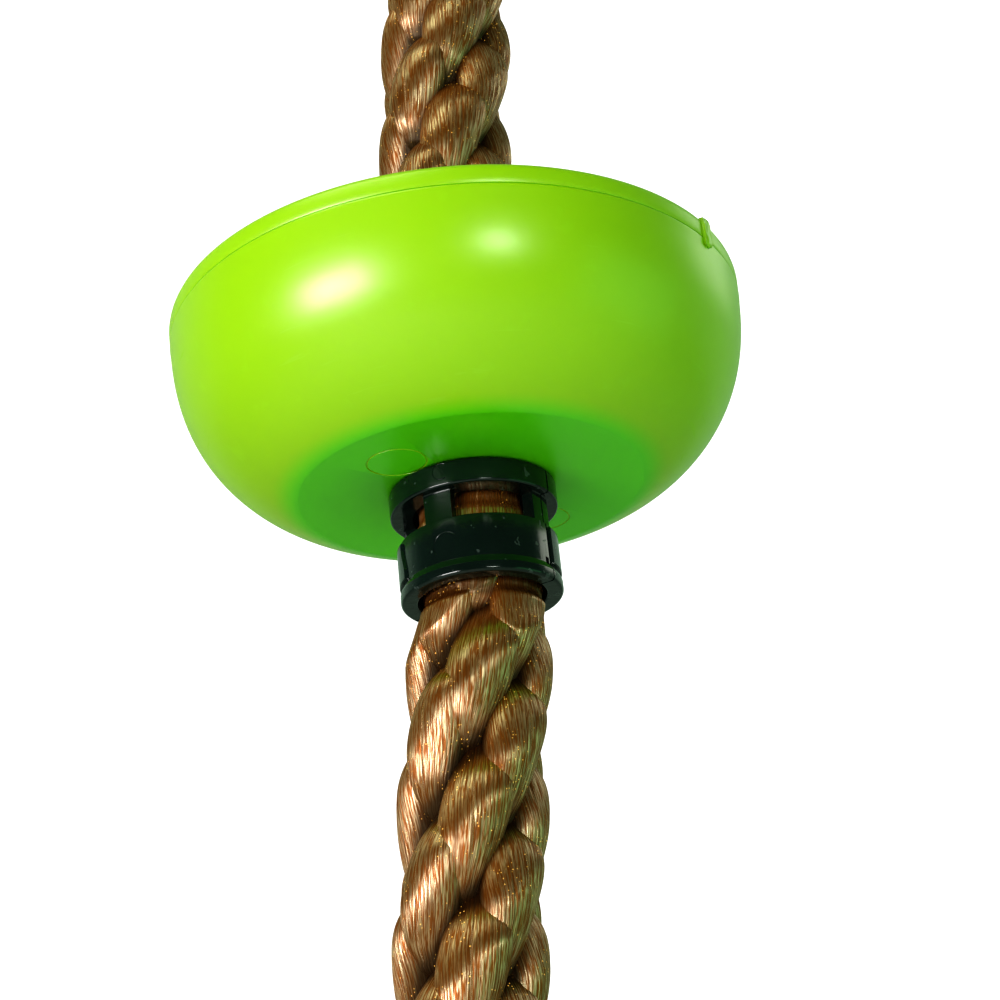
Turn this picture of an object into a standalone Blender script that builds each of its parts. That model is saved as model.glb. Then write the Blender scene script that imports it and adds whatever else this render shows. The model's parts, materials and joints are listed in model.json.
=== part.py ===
"""One foot station of a climbing-rope swing.

A 12-strand solid-braid rope passes through a hollow bowl-shaped foot platform
(a bowl with a tread cover snapped into its mouth).  A two-half lock collar
clamps the rope under the platform and carries it.

Frame: metres, +Z up along the platform's own axis.  The origin is on that
axis, level with the rope's lower end, at the bottom centre of the whole part.
Heights below are written from the platform's flat underside, where the collar
bears on it; BASE lifts them into the part's frame.
"""
import math

import bmesh
import bpy
from mathutils import Matrix, Vector

# ----------------------------------------------------------------------------
# Driving dimensions (metres unless a name says otherwise)
# ----------------------------------------------------------------------------
ROPE_R = 0.0140             # rope radius over the crowns of the strands
STITCH = 0.0280             # length of one surface stitch of the braid
STRANDS = 12
COLUMNS = 8                 # columns of stitches round the rope
STRAND_R = 0.00245          # radius of one strand's solid
LAY_IN = 0.00688            # radius of a strand's path where it runs inside
LAY_OUT = 0.01145           # radius of a strand's path on the surface
ROPE_TOP = 0.1340
ROPE_BOTTOM = -0.1130
BASE = -ROPE_BOTTOM         # height of the platform's underside in the part's frame
RING_STEP = 0.0040          # spacing of the strand cross-sections
STRAND_SIDES = 5

UPPER_BEND_Z = 0.0540       # where the rope flexes above the platform
LOWER_BEND_Z = -0.0360      # where it flexes below the collar
BEND_GAP = 0.0040           # half the open length at a flex point
CORE_R = 0.0044             # radius of the short core at a flex point

HUB_SQUEEZE = 0.92          # rope size inside the platform, as a fraction
GRIP_SQUEEZE = 0.87         # rope size inside the collar

PLATFORM_R = 0.0600
FLAT_R = 0.0352             # flat underside, to the start of the bowl's curve
SEAM_Z = 0.0352             # joint line between bowl and tread cover
PLATFORM_TOP = 0.0397
WALL = 0.0030
BORE_R = 0.0142
HUB_R = 0.0172
RIBS = 6
RIB_T = 0.0022
FIT = 0.0003                # gap between neighbouring pieces

COLLAR_TOP = -FIT
FLANGE_Z = -0.0053          # underside of the collar's upper flange
WINDOW_Z = -0.0116          # bottom of the windows
LIP_Z = -0.0215
COLLAR_BOTTOM = -0.0240
FLANGE_R = 0.0171
POST_R = 0.0153
RING_R = 0.0157
LIP_R = 0.0163
GRIP_R = 0.0126             # inside radius of the collar
SEAM_AZ = 63.0              # azimuth of one parting line, from -Y towards +X
WINDOW_DEG = 67.0
LUG_T = 0.0008

SEGMENTS = 48               # facets round the platform

# ----------------------------------------------------------------------------
for old in list(bpy.data.objects):
    bpy.data.objects.remove(old, do_unlink=True)


def material(name, colour, roughness, metallic=0.0):
    m = bpy.data.materials.new(name)
    m.use_nodes = True
    b = m.node_tree.nodes["Principled BSDF"]
    b.inputs["Base Color"].default_value = (*colour, 1.0)
    b.inputs["Roughness"].default_value = roughness
    b.inputs["Metallic"].default_value = metallic
    m.diffuse_color = (*colour, 1.0)
    return m


LIME = material("lime_plastic", (0.22, 0.72, 0.01), 0.25)
LIME_TREAD = material("lime_tread_plastic", (0.22, 0.70, 0.01), 0.35)
BLACK = material("black_plastic", (0.008, 0.016, 0.014), 0.22)
BLACK_REAR = material("black_plastic_rear", (0.008, 0.015, 0.013), 0.24)
CORE = material("core_yarn", (0.24, 0.13, 0.05), 0.7)


def publish(name, bm, mat, smooth=35.0, origin=None):
    """Turn a bmesh into a named object, optionally with its origin on a joint."""
    bmesh.ops.recalc_face_normals(bm, faces=bm.faces[:])
    place = Vector((0.0, 0.0, BASE)) + Vector(origin or (0.0, 0.0, 0.0))
    if origin is not None:
        bmesh.ops.translate(bm, verts=bm.verts[:], vec=-Vector(origin))
    me = bpy.data.meshes.new(name)
    bm.to_mesh(me)
    bm.free()
    me.materials.append(mat)
    me.shade_smooth()
    me.set_sharp_from_angle(angle=math.radians(smooth))
    ob = bpy.data.objects.new(name, me)
    ob.location = place
    bpy.context.scene.collection.objects.link(ob)
    return ob


def smoothstep(a, b, x):
    t = min(1.0, max(0.0, (x - a) / (b - a)))
    return t * t * (3.0 - 2.0 * t)


# ----------------------------------------------------------------------------
# Rope
# ----------------------------------------------------------------------------
def hang_offset(z):
    """Sideways drift of the rope's centre line away from the platform's axis."""
    def arc(u, k, length):
        if u <= 0.0:
            return 0.0
        if u < length:
            return k * u * u / (2.0 * length)
        return k * length / 2.0 + k * (u - length)
    return arc(z - 0.044, 0.10, 0.050) - arc(-0.024 - z, 0.135, 0.022)


def squeeze(z):
    """Rope size along its length: tight in the collar, snug in the hub."""
    if z < -0.010:
        return 1.0 + (GRIP_SQUEEZE - 1.0) * smoothstep(-0.044, -0.026, z)
    if z < 0.020:
        return GRIP_SQUEEZE + (HUB_SQUEEZE - GRIP_SQUEEZE) * smoothstep(-0.002, 0.006, z)
    return HUB_SQUEEZE + (1.0 - HUB_SQUEEZE) * smoothstep(0.034, 0.050, z)


def strand_centre(k, z):
    """Centre of strand k at height z.

    A strand runs on the surface for one stitch, dives inside for half a
    stitch and comes out again one column further round.
    """
    u = z / STITCH - k
    ph = 2.0 * math.pi * (u - 0.5) / 1.5
    w = max(0.0, 0.5 + 0.5 * math.cos(ph - 0.645 * math.sin(ph))) ** 0.307
    r = (LAY_IN + (LAY_OUT - LAY_IN) * w) * squeeze(z)
    a = math.radians(360.0 / COLUMNS / 1.5 * (u - 0.5)) + math.radians(0.71) * math.sin(ph)
    return Vector((hang_offset(z) + r * math.sin(a), -r * math.cos(a), z))


def strand_section(name, k, z0, z1, mat):
    """One length of a strand, its ends cut square to Z."""
    n = max(2, int(round((z1 - z0) / RING_STEP)))
    bm = bmesh.new()
    rings = []
    for i in range(n + 1):
        z = z0 + (z1 - z0) * i / n
        c = strand_centre(k, z)
        rr = STRAND_R * squeeze(z)
        ring = []
        for s in range(STRAND_SIDES):
            t = 2.0 * math.pi * s / STRAND_SIDES
            ring.append(bm.verts.new(c + Vector((rr * math.cos(t), rr * math.sin(t), 0.0))))
        rings.append(ring)
    for a, b in zip(rings, rings[1:]):
        for s in range(STRAND_SIDES):
            bm.faces.new((a[s - 1], a[s], b[s], b[s - 1]))
    bm.faces.new(rings[0])
    bm.faces.new(rings[-1])
    return publish(name, bm, mat, smooth=60.0)


def bead(name, centre, radius, mat):
    """Short rounded length of core at a flex point."""
    bm = bmesh.new()
    bmesh.ops.create_uvsphere(bm, u_segments=12, v_segments=8, radius=radius)
    bmesh.ops.translate(bm, verts=bm.verts[:], vec=Vector(centre))
    return publish(name, bm, mat, origin=centre)


for k in range(STRANDS):
    shade = 0.94 + 0.03 * (k % 3)
    yarn = material("yarn_%02d" % (k + 1), (0.34 * shade, 0.17 * shade, 0.055 * shade), 0.38)
    strand_section("strand_%02d_upper" % (k + 1), k, UPPER_BEND_Z + BEND_GAP, ROPE_TOP, yarn)
    strand_section("strand_%02d_middle" % (k + 1), k, LOWER_BEND_Z + BEND_GAP, UPPER_BEND_Z - BEND_GAP, yarn)
    strand_section("strand_%02d_lower" % (k + 1), k, ROPE_BOTTOM, LOWER_BEND_Z - BEND_GAP, yarn)

bead("core_upper_bend", (hang_offset(UPPER_BEND_Z), 0.0, UPPER_BEND_Z), CORE_R, CORE)
bead("core_lower_bend", (hang_offset(LOWER_BEND_Z), 0.0, LOWER_BEND_Z), CORE_R * 0.88, CORE)


# ----------------------------------------------------------------------------
# Turned shapes
# ----------------------------------------------------------------------------
def turned(profile, steps, start_deg=0.0, sweep_deg=360.0):
    """Closed (r, z) outline spun about Z; a part turn gets flat end faces."""
    bm = bmesh.new()
    a0 = math.radians(start_deg)
    ring = [bm.verts.new((r * math.sin(a0), -r * math.cos(a0), z)) for r, z in profile]
    face = bm.faces.new(ring)
    full = abs(sweep_deg - 360.0) < 1e-6
    if full:
        edges = face.edges[:]
        bmesh.ops.delete(bm, geom=[face], context="FACES_ONLY")
        bmesh.ops.spin(bm, geom=edges, cent=(0, 0, 0), axis=(0, 0, 1), dvec=(0, 0, 0),
                       angle=math.radians(360.0), steps=steps, use_merge=True)
    else:
        bmesh.ops.spin(bm, geom=[face], cent=(0, 0, 0), axis=(0, 0, 1), dvec=(0, 0, 0),
                       angle=math.radians(sweep_deg), steps=steps, use_merge=False,
                       use_duplicate=False)
        start = [v for v in bm.verts if v in ring]
        if not any(all(v in start for v in f.verts) and len(f.verts) == len(start) for f in bm.faces):
            bm.faces.new(start)
    bmesh.ops.remove_doubles(bm, verts=bm.verts[:], dist=1e-7)
    bmesh.ops.recalc_face_normals(bm, faces=bm.faces[:])
    return bm


def bowl_radius(z):
    """Outer radius of the bowl at height z above its flat underside."""
    height = PLATFORM_TOP
    c = max(0.0, 1.0 - min(z, height) / height) ** (1.0 / 0.741)
    s = math.sqrt(max(0.0, 1.0 - c * c))
    return FLAT_R + (PLATFORM_R - FLAT_R) * s ** 1.36


def cutter(name, bm):
    bmesh.ops.recalc_face_normals(bm, faces=bm.faces[:])
    me = bpy.data.meshes.new(name)
    bm.to_mesh(me)
    bm.free()
    ob = bpy.data.objects.new(name, me)
    ob.location = (0.0, 0.0, BASE)
    ob.hide_render = True
    ob.display_type = "WIRE"
    bpy.context.scene.collection.objects.link(ob)
    return ob


def boolean(ob, tool, operation):
    mod = ob.modifiers.new(tool.name, "BOOLEAN")
    mod.operation = operation
    mod.solver = "EXACT"
    mod.object = tool


# ----------------------------------------------------------------------------
# Platform bowl: outer wall, flat floor, hub tube and ribs
# ----------------------------------------------------------------------------
levels = [0.0, 0.0006, 0.0020, 0.0045, 0.0080, 0.0125, 0.0180, 0.0250, SEAM_Z - FIT]
outer = [(FLAT_R if z == 0.0 else bowl_radius(z), z) for z in levels]
inner = [(bowl_radius(z) - WALL * (1.0 + 0.25 * (1.0 - z / PLATFORM_TOP)), z)
         for z in (SEAM_Z - FIT, 0.0250, 0.0160, 0.0090, 0.0050)]
profile = outer + inner + [
    (FLAT_R - 0.001, WALL),
    (HUB_R, WALL),
    (HUB_R, SEAM_Z - 0.0020),
    (BORE_R, SEAM_Z - 0.0020),
    (BORE_R, 0.0),
]
bowl = publish("platform_bowl", turned(profile, SEGMENTS), LIME)

rib_bm = bmesh.new()
for i in range(RIBS):
    a = 2.0 * math.pi * i / RIBS + math.radians(15.0)
    r0, r1 = HUB_R - 0.0012, bowl_radius(0.030) - 0.0018
    r2 = bowl_radius(0.006) - 0.0030
    zt = SEAM_Z - 0.0060
    pts = [(r0, WALL - 0.0010), (bowl_radius(WALL - 0.0010) - 0.0022, WALL - 0.0010), (r2, 0.0060),
           (bowl_radius(0.016) - 0.0020, 0.0160), (r1, zt), (r0, zt)]
    side = []
    for s in (-0.5, 0.5):
        off = Vector((-math.sin(a), math.cos(a), 0.0)) * (RIB_T * s)
        side.append([rib_bm.verts.new(Vector((r * math.cos(a), r * math.sin(a), z)) + off) for r, z in pts])
    rib_bm.faces.new(side[0])
    rib_bm.faces.new(side[1])
    for j in range(len(pts)):
        k2 = (j + 1) % len(pts)
        rib_bm.faces.new((side[0][j], side[0][k2], side[1][k2], side[1][j]))
boolean(bowl, cutter("rib_tool", rib_bm), "UNION")

# ----------------------------------------------------------------------------
# Tread cover: rim lip, dished tread with anti-slip rings, spigot into the bowl
# ----------------------------------------------------------------------------
TREAD_T = 0.0026
tread_top = [(PLATFORM_R, SEAM_Z), (PLATFORM_R, PLATFORM_TOP - 0.0012),
             (PLATFORM_R - 0.0012, PLATFORM_TOP), (PLATFORM_R - 0.0040, PLATFORM_TOP),
             (PLATFORM_R - 0.0052, PLATFORM_TOP - 0.0010)]
ring_r = 0.0500
base = PLATFORM_TOP - 0.0010
while ring_r > 0.022:
    tread_top += [(ring_r + 0.0012, base), (ring_r + 0.0007, base + 0.0008),
                  (ring_r - 0.0007, base + 0.0008), (ring_r - 0.0012, base)]
    ring_r -= 0.0075
tread_top += [(BORE_R + 0.0030, base), (BORE_R + 0.0024, PLATFORM_TOP),
              (BORE_R + 0.0006, PLATFORM_TOP), (BORE_R, PLATFORM_TOP - 0.0006)]
under = [(BORE_R, SEAM_Z - 0.0020 + FIT), (HUB_R + 0.0003, SEAM_Z - 0.0020 + FIT),
         (HUB_R + 0.0003, SEAM_Z - 0.0060), (HUB_R + 0.0020, SEAM_Z - 0.0060),
         (HUB_R + 0.0020, base - TREAD_T),
         (PLATFORM_R - 0.0060, base - TREAD_T), (PLATFORM_R - 0.0060, SEAM_Z - 0.0040),
         (PLATFORM_R - 0.0042, SEAM_Z - 0.0040), (PLATFORM_R - 0.0037, SEAM_Z)]
tread = publish("platform_tread", turned(tread_top + under, SEGMENTS), LIME_TREAD)


# ----------------------------------------------------------------------------
# Lock collar: two halves parted through two of the four posts
# ----------------------------------------------------------------------------
collar_profile = [
    (GRIP_R, COLLAR_TOP), (FLANGE_R - 0.0004, COLLAR_TOP), (FLANGE_R, COLLAR_TOP - 0.0004),
    (FLANGE_R, FLANGE_Z), (POST_R, FLANGE_Z), (POST_R, WINDOW_Z), (RING_R, WINDOW_Z),
    (RING_R, LIP_Z + 0.0004), (LIP_R, LIP_Z - 0.0004), (LIP_R, COLLAR_BOTTOM + 0.0004),
    (LIP_R - 0.0004, COLLAR_BOTTOM), (GRIP_R + 0.0006, COLLAR_BOTTOM), (GRIP_R, COLLAR_BOTTOM + 0.0006),
]
PART_DEG = 0.7              # half the parting gap, as an angle


def collar_half(name, centre_az, mat):
    half = publish(name, turned(collar_profile, 22, centre_az - 90.0 + PART_DEG, 180.0 - 2.0 * PART_DEG), mat)
    for side in (-1, 1):
        mid = centre_az + side * 45.0
        box = [(GRIP_R - 0.0010, WINDOW_Z), (POST_R + 0.0010, WINDOW_Z),
               (POST_R + 0.0010, FLANGE_Z), (GRIP_R - 0.0010, FLANGE_Z)]
        tool = cutter("%s_window_%d" % (name, side), turned(box, 8, mid - WINDOW_DEG / 2.0, WINDOW_DEG))
        boolean(half, tool, "DIFFERENCE")
    # raised latch pad beside the parting line
    pad = [(RING_R - 0.0008, LIP_Z + 0.0012), (RING_R + LUG_T - 0.0003, LIP_Z + 0.0012), (RING_R + LUG_T, LIP_Z + 0.0020),
           (RING_R + LUG_T, WINDOW_Z - 0.0018), (RING_R + LUG_T - 0.0003, WINDOW_Z - 0.0010), (RING_R - 0.0008, WINDOW_Z - 0.0010)]
    tool = cutter("%s_pad" % name, turned(pad, 6, centre_az - 88.5, 51.0))
    boolean(half, tool, "UNION")
    return half


FRONT_AZ = SEAM_AZ - 90.0
collar_half("collar_front_half", FRONT_AZ, BLACK)
collar_half("collar_rear_half", FRONT_AZ + 180.0, BLACK_REAR)
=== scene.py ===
import json
import math

import bmesh
import bpy
import numpy as np
from mathutils import Matrix, Vector, noise


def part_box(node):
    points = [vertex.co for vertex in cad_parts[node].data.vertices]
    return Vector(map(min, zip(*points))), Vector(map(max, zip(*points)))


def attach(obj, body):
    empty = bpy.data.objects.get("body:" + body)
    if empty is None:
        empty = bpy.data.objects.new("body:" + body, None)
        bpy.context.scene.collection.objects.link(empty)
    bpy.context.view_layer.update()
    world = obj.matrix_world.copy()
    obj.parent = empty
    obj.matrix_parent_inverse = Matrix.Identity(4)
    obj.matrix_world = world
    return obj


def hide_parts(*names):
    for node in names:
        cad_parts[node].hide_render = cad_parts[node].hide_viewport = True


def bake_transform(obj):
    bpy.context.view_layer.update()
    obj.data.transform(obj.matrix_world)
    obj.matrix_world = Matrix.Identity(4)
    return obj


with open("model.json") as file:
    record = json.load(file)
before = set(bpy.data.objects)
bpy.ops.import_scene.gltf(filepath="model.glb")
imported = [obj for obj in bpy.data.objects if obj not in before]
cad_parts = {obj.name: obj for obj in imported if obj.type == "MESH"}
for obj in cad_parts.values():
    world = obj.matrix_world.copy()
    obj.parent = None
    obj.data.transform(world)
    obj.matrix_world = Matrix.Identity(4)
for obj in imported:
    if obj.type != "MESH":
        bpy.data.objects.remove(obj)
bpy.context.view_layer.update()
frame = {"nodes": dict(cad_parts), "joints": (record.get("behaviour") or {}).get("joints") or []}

# ---------------------------------------------------------------------------
# Frame data: heights below are from the platform's flat underside, in metres
# ---------------------------------------------------------------------------
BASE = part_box("platform_bowl")[0].z
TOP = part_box("platform_tread")[1].z - BASE
R_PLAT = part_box("platform_tread")[1].x
ROPE_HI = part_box("strand_01_upper")[1].z - BASE
ROPE_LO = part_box("strand_01_lower")[0].z - BASE
JOINT = {j["name"]: j for j in frame["joints"]}
UB = JOINT["upper_swing_side"]["pos_m"][2] - BASE
LB = JOINT["lower_swing_side"]["pos_m"][2] - BASE
COLLAR_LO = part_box("collar_front_half")[0].z - BASE
COLLAR_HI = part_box("collar_front_half")[1].z - BASE
MM = 0.001
PITCH = 28.0 * MM
COLUMNS = 8


def sstep(a, b, x):
    t = np.clip((x - a) / (b - a), 0.0, 1.0)
    return t * t * (3.0 - 2.0 * t)


def sstep5(a, b, x):
    t = np.clip((x - a) / (b - a), 0.0, 1.0)
    return t * t * t * (t * (6.0 * t - 15.0) + 10.0)


def mesh_object(name, co, quads, mat, uv=None, extra=None, sharp=None, smooth_angle=None):
    """Object from numpy arrays; quads is a list of index arrays of one length each."""
    me = bpy.data.meshes.new(name)
    faces = [np.asarray(q, np.int32) for q in quads if len(q)]
    me.vertices.add(len(co))
    me.vertices.foreach_set("co", np.asarray(co, np.float32).ravel())
    loops = np.concatenate([f.ravel() for f in faces])
    totals = np.concatenate([np.full(len(f), f.shape[1], np.int32) for f in faces])
    starts = np.concatenate([[0], np.cumsum(totals)[:-1]]).astype(np.int32)
    me.loops.add(len(loops))
    me.loops.foreach_set("vertex_index", loops)
    me.polygons.add(len(totals))
    me.polygons.foreach_set("loop_start", starts)
    me.update(calc_edges=True)
    me.validate(verbose=False)
    me.shade_smooth()
    if uv is not None:
        layer = me.uv_layers.new(name="UVMap")
        layer.data.foreach_set("uv", np.asarray(uv, np.float32)[loops].ravel())
    for key, vals in (extra or {}).items():
        at = me.attributes.new(key, "FLOAT", "POINT")
        at.data.foreach_set("value", np.asarray(vals, np.float32))
    if smooth_angle is not None:
        me.set_sharp_from_angle(angle=math.radians(smooth_angle))
    if mat is not None:
        me.materials.append(mat)
    ob = bpy.data.objects.new(name, me)
    bpy.context.scene.collection.objects.link(ob)
    return ob


# ---------------------------------------------------------------------------
# Node helpers
# ---------------------------------------------------------------------------
class Nodes:
    def __init__(self, name):
        self.mat = bpy.data.materials.new(name)
        self.mat.use_nodes = True
        self.t = self.mat.node_tree
        self.t.nodes.clear()
        self.out = self.t.nodes.new("ShaderNodeOutputMaterial")

    def n(self, kind, **kw):
        node = self.t.nodes.new(kind)
        for k, v in kw.items():
            setattr(node, k, v)
        return node

    def link(self, a, b):
        self.t.links.new(a, b)

    def val(self, socket, v):
        if isinstance(v, bpy.types.NodeSocket):
            self.link(v, socket)
        else:
            socket.default_value = v

    def math(self, op, a, b=0.0, c=0.0, clamp=False):
        m = self.n("ShaderNodeMath", operation=op, use_clamp=clamp)
        self.val(m.inputs[0], a)
        self.val(m.inputs[1], b)
        self.val(m.inputs[2], c)
        return m.outputs[0]

    def mapr(self, v, a, b, c, d, kind="SMOOTHSTEP"):
        m = self.n("ShaderNodeMapRange", interpolation_type=kind)
        self.val(m.inputs["Value"], v)
        m.inputs["From Min"].default_value = a
        m.inputs["From Max"].default_value = b
        m.inputs["To Min"].default_value = c
        m.inputs["To Max"].default_value = d
        return m.outputs[0]

    def mix(self, f, a, b, blend="MIX"):
        m = self.n("ShaderNodeMix", data_type="RGBA", blend_type=blend)
        self.val(m.inputs[0], f)
        self.val(m.inputs[6], a)
        self.val(m.inputs[7], b)
        return m.outputs[2]

    def noise(self, vec, scale, detail=2.0, rough=0.5, dist=0.0):
        m = self.n("ShaderNodeTexNoise")
        if vec is not None:
            self.link(vec, m.inputs["Vector"])
        m.inputs["Scale"].default_value = scale
        m.inputs["Detail"].default_value = detail
        m.inputs["Roughness"].default_value = rough
        m.inputs["Distortion"].default_value = dist
        return m.outputs[0]

    def scaled(self, vec, sx, sy, sz, ox=0.0, oy=0.0, oz=0.0):
        m = self.n("ShaderNodeMapping")
        self.link(vec, m.inputs["Vector"])
        m.inputs["Scale"].default_value = (sx, sy, sz)
        m.inputs["Location"].default_value = (ox, oy, oz)
        return m.outputs[0]

    def bump(self, height, strength, distance, normal=None):
        m = self.n("ShaderNodeBump")
        m.inputs["Strength"].default_value = strength
        m.inputs["Distance"].default_value = distance
        self.link(height, m.inputs["Height"])
        if normal is not None:
            self.link(normal, m.inputs["Normal"])
        return m.outputs[0]

    def attr(self, name):
        return self.n("ShaderNodeAttribute", attribute_name=name).outputs["Fac"]

    def obj(self):
        return self.n("ShaderNodeTexCoord").outputs["Object"]


def rgb(r, g, b):
    """sRGB 0-255 to linear."""
    def f(c):
        c /= 255.0
        return c / 12.92 if c <= 0.04045 else ((c + 0.055) / 1.055) ** 2.4
    return (f(r), f(g), f(b), 1.0)


# ---------------------------------------------------------------------------
# Materials
# ---------------------------------------------------------------------------
def yarn_material(name, seed, lighten=1.0):
    m = Nodes(name)
    uv = m.n("ShaderNodeUVMap", uv_map="UVMap").outputs[0]
    # u runs along the strand in metres*100, v once round it
    fil = m.noise(m.scaled(uv, 0.55, 185.0, 1.0, seed, 0, 0), 1.0, 3.0, 0.62, 0.0)
    fil2 = m.noise(m.scaled(uv, 1.0, 82.0, 1.0, 7.0 + seed, 3.0, 0), 1.0, 2.0, 0.55, 0.0)
    frag = m.noise(m.scaled(uv, 2.2, 110.0, 1.0, 17.0 + seed, 5.0, 0), 1.0, 2.0, 0.6, 0.0)
    blot = m.noise(m.obj(), 55.0, 3.0, 0.5)
    base = m.mix(m.mapr(fil, 0.34, 0.68, 0.0, 1.0), rgb(96 * lighten, 55 * lighten, 15 * lighten), rgb(150 * lighten, 92 * lighten, 32 * lighten))
    base = m.mix(m.mapr(fil2, 0.52, 0.72, 0.0, 0.40), base, rgb(66, 38, 10))
    base = m.mix(m.mapr(blot, 0.3, 0.7, 0.0, 0.30), base, rgb(134, 80, 28))
    # painted shade: the furrows between yarn bundles are darkened in the colour
    painted_furrow_shade = m.attr("painted_furrow_shade")
    base = m.mix(m.mapr(painted_furrow_shade, 0.15, 1.0, 0.0, 0.6, "LINEAR"), base, rgb(34, 16, 4))
    # painted shade: recesses below the crowns and the rope inside the collar's mouth are darkened
    painted_recess_shade = m.attr("painted_recess_shade")
    base = m.mix(m.mapr(painted_recess_shade, 0.0, 1.0, 0.0, 0.85, "LINEAR"), base, rgb(20, 9, 2))
    # painted glints: bright gold specks where a filament turns over; they also give off a little light
    spk = m.n("ShaderNodeTexVoronoi", feature="F1", distance="EUCLIDEAN")
    m.link(m.scaled(uv, 17.0, 72.0, 1.0, seed * 3.1, 0, 0), spk.inputs["Vector"])
    spk.inputs["Scale"].default_value = 1.0
    spot = m.mapr(spk.outputs["Distance"], 0.13, 0.27, 1.0, 0.0)
    sc = m.n("ShaderNodeSeparateColor")
    m.link(spk.outputs["Color"], sc.inputs[0])
    chosen = m.math("GREATER_THAN", sc.outputs[0], 0.68)
    zone = m.mapr(m.noise(m.obj(), 150.0, 2.0, 0.5), 0.45, 0.57, 0.0, 1.0)
    painted_glint = m.math("MULTIPLY", m.math("MULTIPLY", spot, chosen), zone)
    base = m.mix(painted_glint, base, rgb(255, 205, 110))

    height = m.math("ADD", m.math("MULTIPLY", fil, 0.75), m.math("MULTIPLY", fil2, 0.55))
    height = m.math("ADD", height, m.math("MULTIPLY", frag, 0.30))
    nrm = m.bump(height, 0.50, 0.00026)
    tan = m.n("ShaderNodeTangent", direction_type="UV_MAP", uv_map="UVMap")

    p = m.n("ShaderNodeBsdfPrincipled")
    m.link(base, p.inputs["Base Color"])
    p.inputs["Metallic"].default_value = 0.0
    m.link(m.mapr(fil2, 0.3, 0.7, 0.34, 0.52), p.inputs["Roughness"])
    p.inputs["Specular IOR Level"].default_value = 0.55
    p.inputs["Specular Tint"].default_value = (1.0, 0.86, 0.64, 1.0)
    p.inputs["Anisotropic"].default_value = 0.85
    p.inputs["Anisotropic Rotation"].default_value = 0.25
    # painted glow: the glints emit a little light of their own
    m.link(m.mix(painted_glint, (0, 0, 0, 1), rgb(255, 190, 90)), p.inputs["Emission Color"])
    p.inputs["Emission Strength"].default_value = 0.75
    m.link(tan.outputs[0], p.inputs["Tangent"])
    m.link(nrm, p.inputs["Normal"])

    g = m.n("ShaderNodeBsdfAnisotropic", distribution="GGX")
    m.link(m.mix(m.mapr(frag, 0.42, 0.58, 0.0, 1.0), rgb(162, 86, 29), rgb(255, 230, 194)), g.inputs["Color"])
    m.link(m.mapr(frag, 0.35, 0.7, 0.44, 0.32), g.inputs["Roughness"])
    g.inputs["Anisotropy"].default_value = 0.58
    g.inputs["Rotation"].default_value = 0.0
    m.link(tan.outputs[0], g.inputs["Tangent"])
    m.link(nrm, g.inputs["Normal"])
    mixs = m.n("ShaderNodeMixShader")
    gl = m.mapr(fil, 0.36, 0.64, 0.13, 0.60)
    # the painted shade also dims the gloss in recesses
    m.link(m.math("MULTIPLY", gl, m.mapr(painted_recess_shade, 0.0, 1.0, 1.0, 0.10, "LINEAR")), mixs.inputs[0])
    m.link(p.outputs[0], mixs.inputs[1])
    m.link(g.outputs[0], mixs.inputs[2])
    m.link(mixs.outputs[0], m.out.inputs[0])
    return m.mat


def lime_material(name, rough=0.30):
    m = Nodes(name)
    o = m.obj()
    big = m.noise(o, 16.0, 3.0, 0.5)
    fine = m.noise(o, 1900.0, 2.0, 0.6)
    mid = m.noise(o, 210.0, 3.0, 0.55)
    col = m.mix(m.mapr(big, 0.3, 0.7, 0.0, 1.0), rgb(158, 205, 0), rgb(161, 208, 1))
    col = m.mix(m.mapr(mid, 0.60, 0.75, 0.0, 0.10), col, rgb(172, 230, 40))
    # faint handling scuffs
    sc = m.noise(m.scaled(o, 60.0, 60.0, 900.0), 1.0, 3.0, 0.6, 0.4)
    scr = m.mapr(sc, 0.66, 0.72, 0.0, 1.0)
    col = m.mix(m.math("MULTIPLY", scr, 0.07), col, rgb(190, 240, 110))
    # painted shade: the plastic is coloured a deeper green where it faces straight down
    nz = m.n("ShaderNodeSeparateXYZ")
    m.link(m.n("ShaderNodeNewGeometry").outputs["Normal"], nz.inputs[0])
    col = m.mix(m.mapr(nz.outputs[2], -0.90, -1.0, 0.0, 0.75), col, rgb(78, 222, 2))
    p = m.n("ShaderNodeBsdfPrincipled")
    m.link(col, p.inputs["Base Color"])
    r = m.math("ADD", m.mapr(big, 0.3, 0.7, rough - 0.03, rough + 0.05), m.math("MULTIPLY", scr, 0.12))
    m.link(r, p.inputs["Roughness"])
    p.inputs["Specular IOR Level"].default_value = 0.78
    p.inputs["Subsurface Weight"].default_value = 0.12
    p.inputs["Subsurface Radius"].default_value = (0.6, 1.0, 0.1)
    p.inputs["Subsurface Scale"].default_value = 0.002
    b = m.bump(fine, 0.10, 0.00004)
    b = m.bump(mid, 0.12, 0.0002, b)
    m.link(b, p.inputs["Normal"])
    m.link(p.outputs[0], m.out.inputs[0])
    return m.mat


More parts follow.
